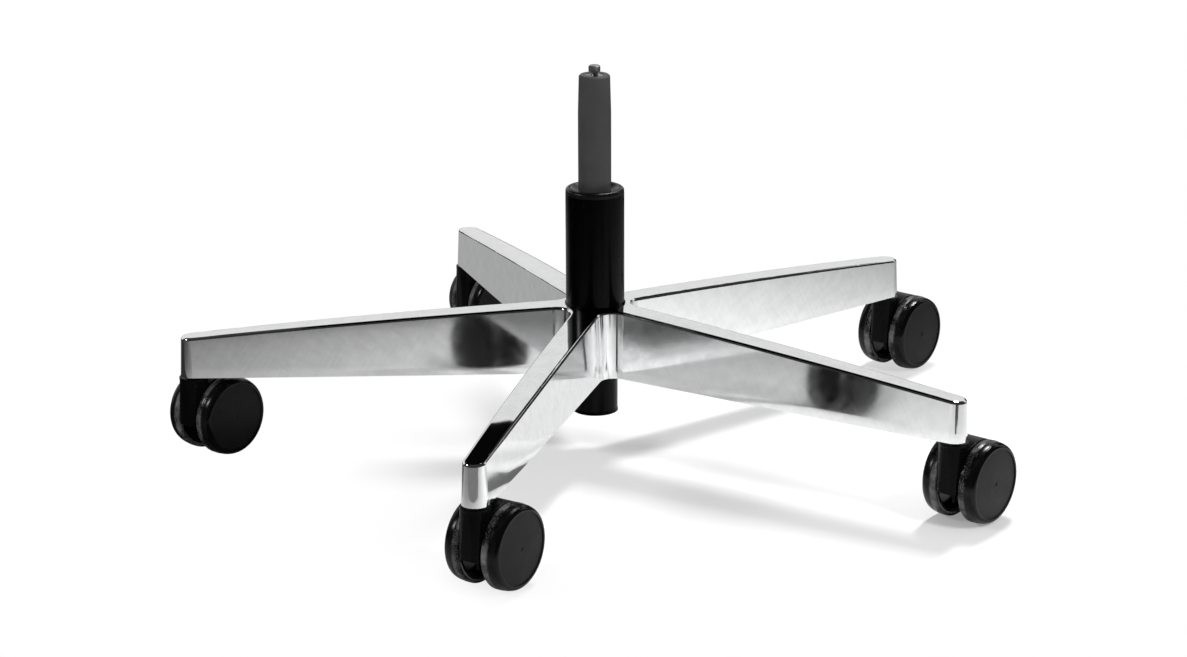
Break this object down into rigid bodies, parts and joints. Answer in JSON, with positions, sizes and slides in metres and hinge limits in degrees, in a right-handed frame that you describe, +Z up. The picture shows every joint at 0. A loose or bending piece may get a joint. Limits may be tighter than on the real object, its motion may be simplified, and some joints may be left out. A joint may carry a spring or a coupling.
{
  "type": "office chair base",
  "caption": "Polished cast star base with a telescopic gas column, seat taper and twin-wheel casters; it rolls, swivels and lifts.",
  "frame": {"origin": "column axis at the floor that the casters roll on", "axes": "+Z up along the column; leg 1 points along -Y and the legs are numbered anticlockwise seen from above"},
  "size_m": [0.7272, 0.702, 0.34],
  "materials": {
    "polished_aluminium": "cast aluminium, polished bright",
    "column_black": "steel, black powder coat, half gloss",
    "cylinder_grey": "steel, dark grey satin coat",
    "bush_plastic": "moulded acetal, black",
    "wheel_plastic": "moulded nylon, black, glossy",
    "cap_plastic": "moulded nylon, dark grey, fine matt grain",
    "body_plastic": "moulded nylon, black, half gloss",
    "tread_rubber": "soft polyurethane tread, black, dusty",
    "buffer_rubber": "rubber buffer, black",
    "bearing_steel": "ground steel",
    "rod_chrome": "hard chromed steel rod",
    "zinc_steel": "zinc plated steel"
  },
  "bodies": {
    "root": {"star_base": "polished_aluminium", "column_tube": "column_black", "guide_bush": "bush_plastic", "lower_race": "bearing_steel", "stem_grip_rings": "zinc_steel", "caster1_stem": "zinc_steel", "caster2_stem": "zinc_steel", "caster3_stem": "zinc_steel", "caster4_stem": "zinc_steel", "caster5_stem": "zinc_steel"},
    "bearing_cage": {"ball_cage": "bush_plastic", "thrust_balls": "bearing_steel"},
    "piston_rod": {"piston_rod": "rod_chrome", "upper_race": "bearing_steel", "bump_stop": "buffer_rubber", "retaining_clip": "zinc_steel"},
    "gas_cylinder": {"gas_cylinder": "cylinder_grey", "rod_guide": "bush_plastic", "valve_body": "zinc_steel"},
    "release_button": {"release_button": "zinc_steel"},
    "caster1": {"caster1_body": "body_plastic", "caster1_axle": "zinc_steel"},
    "caster1_wheel_left": {"caster1_wheel_left": "wheel_plastic", "caster1_tread_left": "tread_rubber", "caster1_cap_left": "cap_plastic"},
    "caster1_wheel_right": {"caster1_wheel_right": "wheel_plastic", "caster1_tread_right": "tread_rubber", "caster1_cap_right": "cap_plastic"},
    "caster2": {"caster2_body": "body_plastic", "caster2_axle": "zinc_steel"},
    "caster2_wheel_left": {"caster2_wheel_left": "wheel_plastic", "caster2_tread_left": "tread_rubber", "caster2_cap_left": "cap_plastic"},
    "caster2_wheel_right": {"caster2_wheel_right": "wheel_plastic", "caster2_tread_right": "tread_rubber", "caster2_cap_right": "cap_plastic"},
    "caster3": {"caster3_body": "body_plastic", "caster3_axle": "zinc_steel"},
    "caster3_wheel_left": {"caster3_wheel_left": "wheel_plastic", "caster3_tread_left": "tread_rubber", "caster3_cap_left": "cap_plastic"},
    "caster3_wheel_right": {"caster3_wheel_right": "wheel_plastic", "caster3_tread_right": "tread_rubber", "caster3_cap_right": "cap_plastic"},
    "caster4": {"caster4_body": "body_plastic", "caster4_axle": "zinc_steel"},
    "caster4_wheel_left": {"caster4_wheel_left": "wheel_plastic", "caster4_tread_left": "tread_rubber", "caster4_cap_left": "cap_plastic"},
    "caster4_wheel_right": {"caster4_wheel_right": "wheel_plastic", "caster4_tread_right": "tread_rubber", "caster4_cap_right": "cap_plastic"},
    "caster5": {"caster5_body": "body_plastic", "caster5_axle": "zinc_steel"},
    "caster5_wheel_left": {"caster5_wheel_left": "wheel_plastic", "caster5_tread_left": "tread_rubber", "caster5_cap_left": "cap_plastic"},
    "caster5_wheel_right": {"caster5_wheel_right": "wheel_plastic", "caster5_tread_right": "tread_rubber", "caster5_cap_right": "cap_plastic"}
  },
  "joints": [
    {"name": "column_swivel", "type": "hinge", "parent": "root", "child": "piston_rod", "pos_m": [0, 0, 0.0435], "axis": [0, 0, 1], "continuous": true},
    {"name": "bearing_cage_spin", "type": "hinge", "parent": "root", "child": "bearing_cage", "pos_m": [0, 0, 0.0468], "axis": [0, 0, 1], "continuous": true},
    {"name": "height_lift", "type": "slide", "parent": "piston_rod", "child": "gas_cylinder", "axis": [0, 0, 1], "range_m": [-0.055, 0.045]},
    {"name": "release_press", "type": "slide", "parent": "gas_cylinder", "child": "release_button", "axis": [0, 0, -1], "range_m": [0, 0.0025], "stiffness_N_per_m": 3000},
    {"name": "caster1_swivel", "type": "hinge", "parent": "root", "child": "caster1", "pos_m": [0, -0.3448, 0.074], "axis": [0, 0, 1], "continuous": true},
    {"name": "caster1_roll_left", "type": "hinge", "parent": "caster1", "child": "caster1_wheel_left", "pos_m": [0.00789, -0.32108, 0.0345], "axis": [-0.9489, 0.3156, 0], "continuous": true},
    {"name": "caster1_roll_right", "type": "hinge", "parent": "caster1", "child": "caster1_wheel_right", "pos_m": [0.00789, -0.32108, 0.0345], "axis": [-0.9489, 0.3156, 0], "continuous": true},
    {"name": "caster2_swivel", "type": "hinge", "parent": "root", "child": "caster2", "pos_m": [0.32792, -0.10655, 0.074], "axis": [0, 0, 1], "continuous": true},
    {"name": "caster2_roll_left", "type": "hinge", "parent": "caster2", "child": "caster2_wheel_left", "pos_m": [0.33817, -0.08375, 0.0345], "axis": [-0.9121, 0.4099, 0], "continuous": true},
    {"name": "caster2_roll_right", "type": "hinge", "parent": "caster2", "child": "caster2_wheel_right", "pos_m": [0.33817, -0.08375, 0.0345], "axis": [-0.9121, 0.4099, 0], "continuous": true},
    {"name": "caster3_swivel", "type": "hinge", "parent": "root", "child": "caster3", "pos_m": [0.20267, 0.27895, 0.074], "axis": [0, 0, 1], "continuous": true},
    {"name": "caster3_roll_left", "type": "hinge", "parent": "caster3", "child": "caster3_wheel_left", "pos_m": [0.21292, 0.30175, 0.0345], "axis": [-0.9121, 0.4099, 0], "continuous": true},
    {"name": "caster3_roll_right", "type": "hinge", "parent": "caster3", "child": "caster3_wheel_right", "pos_m": [0.21292, 0.30175, 0.0345], "axis": [-0.9121, 0.4099, 0], "continuous": true},
    {"name": "caster4_swivel", "type": "hinge", "parent": "root", "child": "caster4", "pos_m": [-0.20267, 0.27895, 0.074], "axis": [0, 0, 1], "continuous": true},
    {"name": "caster4_roll_left", "type": "hinge", "parent": "caster4", "child": "caster4_wheel_left", "pos_m": [-0.18728, 0.29865, 0.0345], "axis": [-0.788, 0.6157, 0], "continuous": true},
    {"name": "caster4_roll_right", "type": "hinge", "parent": "caster4", "child": "caster4_wheel_right", "pos_m": [-0.18728, 0.29865, 0.0345], "axis": [-0.788, 0.6157, 0], "continuous": true},
    {"name": "caster5_swivel", "type": "hinge", "parent": "root", "child": "caster5", "pos_m": [-0.32792, -0.10655, 0.074], "axis": [0, 0, 1], "continuous": true},
    {"name": "caster5_roll_left", "type": "hinge", "parent": "caster5", "child": "caster5_wheel_left", "pos_m": [-0.31716, -0.08398, 0.0345], "axis": [-0.9026, 0.4305, 0], "continuous": true},
    {"name": "caster5_roll_right", "type": "hinge", "parent": "caster5", "child": "caster5_wheel_right", "pos_m": [-0.31716, -0.08398, 0.0345], "axis": [-0.9026, 0.4305, 0], "continuous": true}
  ],
  "couplings": [
    {"joint": "bearing_cage_spin", "follows": "column_swivel", "ratio": 0.5}
  ]
}
